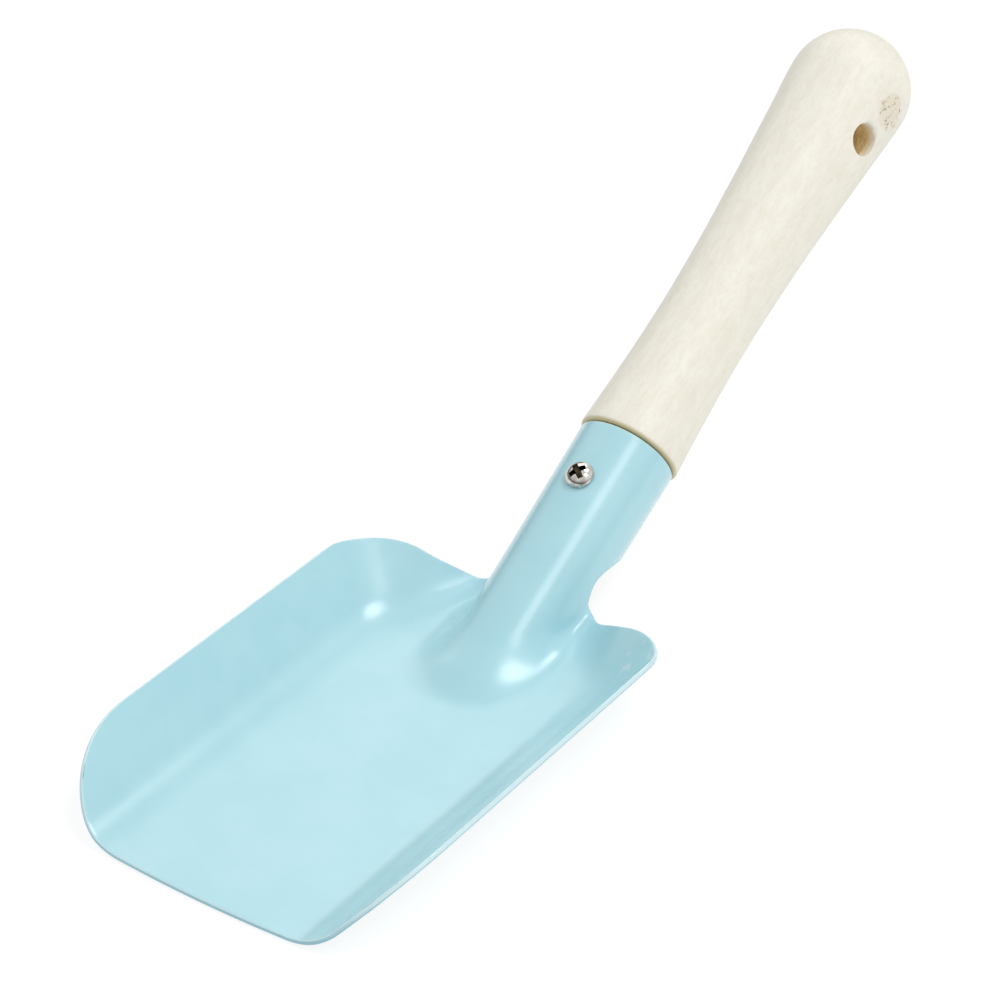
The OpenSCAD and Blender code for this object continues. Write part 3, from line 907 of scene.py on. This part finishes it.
def makeHandle():
    h = handleSizes
    verts, faces = lathe(handleOutline(), h["segments"])
    uneven = []
    for x, y, z in verts:  # sanding leaves the grip a little uneven
        a = math.atan2(y, x)
        grip = clampShare((z - h["unevenStart"]) / h["unevenRun"])
        wave = sum(share * math.sin(times * a + z * turn) for share, times, turn in sandingWaves)
        wave = wave / sum(share for share, times, turn in sandingWaves)
        radius = max(math.hypot(x, y), h["unevenCore"])
        grow = 1 - h["unevenness"] * grip * (1 + wave) / 2 / radius
        uneven.append((x * grow * mm, y * grow * mm, z * mm))
    obj = makeObject("turnedHandle", uneven, faces, wood)
    r = h["hole"] / 2
    reach = gripRadius(h["length"] - h["holeBack"])
    rounds = [(r + h["holeRound"] * (1 - math.cos(a)),
               reach - h["holeRound"] * (1 - math.sin(a)) + h["roundLift"])
              for a in np.linspace(0, h["roundTurn"], 10)]
    flare = (rounds[-1][0] + h["flareWide"], rounds[-1][1] + h["flareLift"])
    side = [(0, flare[1]), flare] + rounds[::-1]
    bore = [(r, z) for z in np.linspace(-h["drillReach"], h["drillReach"], 9)]
    drill = [(x, -z) for x, z in side] + bore + side[::-1]
    cutVerts, cutFaces = lathe([(x * mm, z * mm) for x, z in drill], h["drillSegments"])
    cutter = makeObject("drill", cutVerts, cutFaces, boredWood)
    turn = Matrix.Rotation(h["holeTurn"], 4, "Z") @ Matrix.Rotation(math.pi / 2, 4, "Y")
    cutter.matrix_world = Matrix.Translation((0, 0, (h["length"] - h["holeBack"]) * mm)) @ turn
    cutWith(obj, cutter)
    obj.data.set_sharp_from_angle(angle=h["sharpAngle"])
    return obj


handle = makeHandle()
handle.data.transform(axisMatrix())
dress(handle, "handle")
print("handle turned:", len(handle.data.polygons), "faces")

# Sizes of the screw, in millimetres
screwSizes = {
    "back": 15.1,
    "head": 7.0,
    "headHeight": 2.6,
    "rimHeight": 0.75,
    "rimRound": 0.25,
    "thread": 3.5,
    "core": 2.6,
    "length": 13.0,
    "pitch": 1.3,
    "rootGap": 0.1,
    "crossReach": 2.3,
    "crossWidth": 1.3,
    "crossDepth": 1.8,
    "crossCorner": 0.16,
    "turn": math.radians(52),
    "softEdge": 0.08,
    "softAngle": math.radians(40),
    "sharpAngle": math.radians(60),
    "segments": 96,
}
# The cross from its open top down: share of its reach, share of its width, height over the crown
crossLevels = ((1.2, 1.15, 0.5), (1.0, 1.05, -0.35), (0.5, 0.8, -screwSizes["crossDepth"]))


def screwOutline():  # from the shank's point, past the thread and the head's rim, to its crown
    s = screwSizes
    crown = s["headHeight"] - s["rimHeight"]
    r = ((s["head"] / 2) ** 2 + crown ** 2) / (2 * crown)
    line = [(0, -s["length"]), (s["core"] / 2, -s["length"] + s["core"])]
    count = int((s["length"] - s["core"] - 2 * sheet) / s["pitch"])
    for k in range(count):
        z = -s["length"] + s["core"] + s["pitch"] * k
        line += [(s["core"] / 2, z + s["rootGap"]), (s["thread"] / 2, z + s["pitch"] / 2),
                 (s["core"] / 2, z + s["pitch"])]
    rim = s["rimRound"]
    line += [(s["core"] / 2, 0), (s["head"] / 2 - rim, 0)]
    line += [(s["head"] / 2 - rim + rim * math.sin(a), rim - rim * math.cos(a))
             for a in np.linspace(0, math.pi / 2, 5)[1:]]
    top = math.asin(s["head"] / 2 / r)
    line += [(r * math.sin(a), s["headHeight"] - r + r * math.cos(a))
             for a in np.linspace(top, 0, 30)[1:-1]]
    return line + [(0, s["headHeight"])]


def crossCutter():
    s = screwSizes
    verts = []
    for reachShare, widthShare, z in crossLevels:
        reach, half = s["crossReach"] * reachShare, s["crossWidth"] * widthShare / 2
        corner = half + s["crossCorner"]
        arm = [(reach, -half), (reach, half), (corner, half), (half, corner)]
        for k in range(4):
            c, d = math.cos(k * math.pi / 2), math.sin(k * math.pi / 2)
            verts += [((x * c - y * d) * mm, (x * d + y * c) * mm, (s["headHeight"] + z) * mm)
                      for x, y in arm]
    around = 4 * len(arm)
    faces = [tuple(range(around)), tuple(range(3 * around - 1, 2 * around - 1, -1))]
    for level in (0, around):
        for k in range(around):
            n = (k + 1) % around
            faces.append((level + k, level + around + k, level + around + n, level + n))
    # The recess walls take this dark nickel as painted shade
    return makeObject("driverCross", verts, faces, recessShadeNickel)


def makeScrew():
    s = screwSizes
    verts, faces = lathe([(r * mm, z * mm) for r, z in screwOutline()], s["segments"])
    obj = makeObject("panHeadScrew", verts, faces, nickel)
    cutter = crossCutter()
    cutter.rotation_euler = Euler((0, 0, s["turn"]))
    bpy.context.view_layer.update()
    cutWith(obj, cutter)
    soft = obj.modifiers.new("softEdges", "BEVEL")
    soft.width = s["softEdge"] * mm
    soft.segments = 2
    soft.limit_method = "ANGLE"
    soft.angle_limit = s["softAngle"]
    obj.data.set_sharp_from_angle(angle=s["sharpAngle"])
    return obj


screw = makeScrew()
seat = axisMatrix(-screwSizes["back"], outerRadius(-screwSizes["back"]))
screw.data.transform(seat @ Matrix.Rotation(-math.pi / 2, 4, "Y"))
dress(screw, "screw")
print("screw made")

# Floor, backdrop and lights
studio = {
    "floorReach": 4.0,
    "floorDrop": 0.0004,
    "floorMatte": 0.96,
    "backdrop": 0.85,
    "shadowShare": 0.22,
    "ambient": 0.56,
    "room": (0.15, 1.0, 0.12, 0.45),
}
# Each softbox: watts, width and height, where it stands and what it is aimed at
lights = {
    "keySoftbox": (19.2, (0.95, 0.95), (1.07, -0.84, 2.7), (0.04, 0, 0.01)),
    "stripSoftbox": (0.6, (0.25, 0.24), (0.01, -0.43, 0.67), (0.08, 0, 0.03)),
    "fillSoftbox": (2.6, (0.9, 0.9), (0.1, -0.85, 1.25), (0.05, 0, 0.02)),
    "farSoftbox": (1.2, (0.85, 0.7), (0.54, 0.45, 0.56), (0, 0, 0)),
    "bounceSoftbox": (0.9, (0.8, 0.8), (-0.7, 0.75, 0.8), (0, 0, 0)),
}


def seenRay(tree):  # one for what the camera, gloss and glass see, none for what lights the object
    path = tree.nodes.new("ShaderNodeLightPath")
    seen = addMath(tree, "MAXIMUM", path.outputs["Is Camera Ray"], path.outputs["Is Glossy Ray"])
    return addMath(tree, "MAXIMUM", seen, path.outputs["Is Transmission Ray"])


def makeFloor():
    reach, z = studio["floorReach"], -studio["floorDrop"]
    verts = [(-reach, -reach, z), (reach, -reach, z), (reach, reach, z), (-reach, reach, z)]
    floor = makeObject("studioFloor", verts, [(0, 1, 2, 3)])
    material = bpy.data.materials.new("studioFloor")
    material.use_nodes = True
    tree = material.node_tree
    tree.nodes.clear()
    matte = tree.nodes.new("ShaderNodeBsdfDiffuse")
    matte.inputs["Color"].default_value = (studio["floorMatte"],) * 3 + (1,)
    faint = tree.nodes.new("ShaderNodeBsdfDiffuse")
    faint.inputs["Color"].default_value = (studio["shadowShare"],) * 3 + (1,)
    white = tree.nodes.new("ShaderNodeEmission")
    white.inputs["Strength"].default_value = studio["backdrop"]
    backdrop = tree.nodes.new("ShaderNodeAddShader")
    link(tree, faint.outputs[0], backdrop.inputs[0])
    link(tree, white.outputs[0], backdrop.inputs[1])
    blend = tree.nodes.new("ShaderNodeMixShader")
    link(tree, seenRay(tree), blend.inputs[0])
    link(tree, matte.outputs[0], blend.inputs[1])
    link(tree, backdrop.outputs[0], blend.inputs[2])
    out = tree.nodes.new("ShaderNodeOutputMaterial")
    link(tree, blend.outputs[0], out.inputs["Surface"])
    floor.data.materials.append(material)


def makeWorld():
    world = bpy.data.worlds.new("studioRoom")
    world.use_nodes = True
    scene.world = world
    tree = world.node_tree
    back = tree.nodes["Background"]
    back.inputs["Color"].default_value = (1, 1, 1, 1)
    path = tree.nodes.new("ShaderNodeLightPath")
    place = tree.nodes.new("ShaderNodeTexCoord")
    height = tree.nodes.new("ShaderNodeSeparateXYZ")
    link(tree, place.outputs["Generated"], height.inputs[0])
    camera, glossy = path.outputs["Is Camera Ray"], path.outputs["Is Glossy Ray"]
    room = toRange(tree, height.outputs["Z"], *studio["room"])  # gloss sees it dim low down
    gloss = addMath(tree, "MULTIPLY", room, glossy)
    lit = toRange(tree, glossy, studio["ambient"], 0.0)
    seen = addMath(tree, "MAXIMUM", camera, path.outputs["Is Transmission Ray"])
    strength = addMath(tree, "MAXIMUM", addMath(tree, "MAXIMUM", gloss, lit), seen)
    link(tree, strength, back.inputs["Strength"])


def makeLight(name):
    power, size, place, aim = lights[name]
    data = bpy.data.lights.new(name, "AREA")
    data.energy = power
    data.shape = "ELLIPSE"
    data.size, data.size_y = size
    obj = bpy.data.objects.new(name, data)
    obj.location = place
    obj.rotation_euler = (Vector(place) - Vector(aim)).to_track_quat("Z", "Y").to_euler()
    scene.collection.objects.link(obj)
    return obj


# Where the photo was taken from, in millimetres and degrees
view = {
    "eye": (-407.4, -356.3, 416.8),
    "aim": (103.9, 37.8, 0.0),
    "roll": -2.67,
    "lens": 111.6,
    "sensor": 36,
    "clip": (0.01, 20),
}


def makeCamera():
    data = bpy.data.cameras.new("photoCamera")
    data.lens = view["lens"]
    data.sensor_width = view["sensor"]
    data.clip_start, data.clip_end = view["clip"]
    obj = bpy.data.objects.new("photoCamera", data)
    eye, aim = Vector(view["eye"]) * mm, Vector(view["aim"]) * mm
    turn = (eye - aim).to_track_quat("Z", "Y").to_matrix().to_4x4()
    roll = Matrix.Rotation(math.radians(view["roll"]), 4, "Z")
    obj.matrix_world = Matrix.Translation(eye) @ turn @ roll
    scene.collection.objects.link(obj)
    scene.camera = obj


makeFloor()
makeWorld()
makeLight("keySoftbox")
makeLight("stripSoftbox")
makeLight("fillSoftbox").visible_glossy = False
makeLight("farSoftbox").visible_diffuse = False  # only for the glints along the edges
makeLight("bounceSoftbox").visible_glossy = False
makeCamera()
print("studio ready")
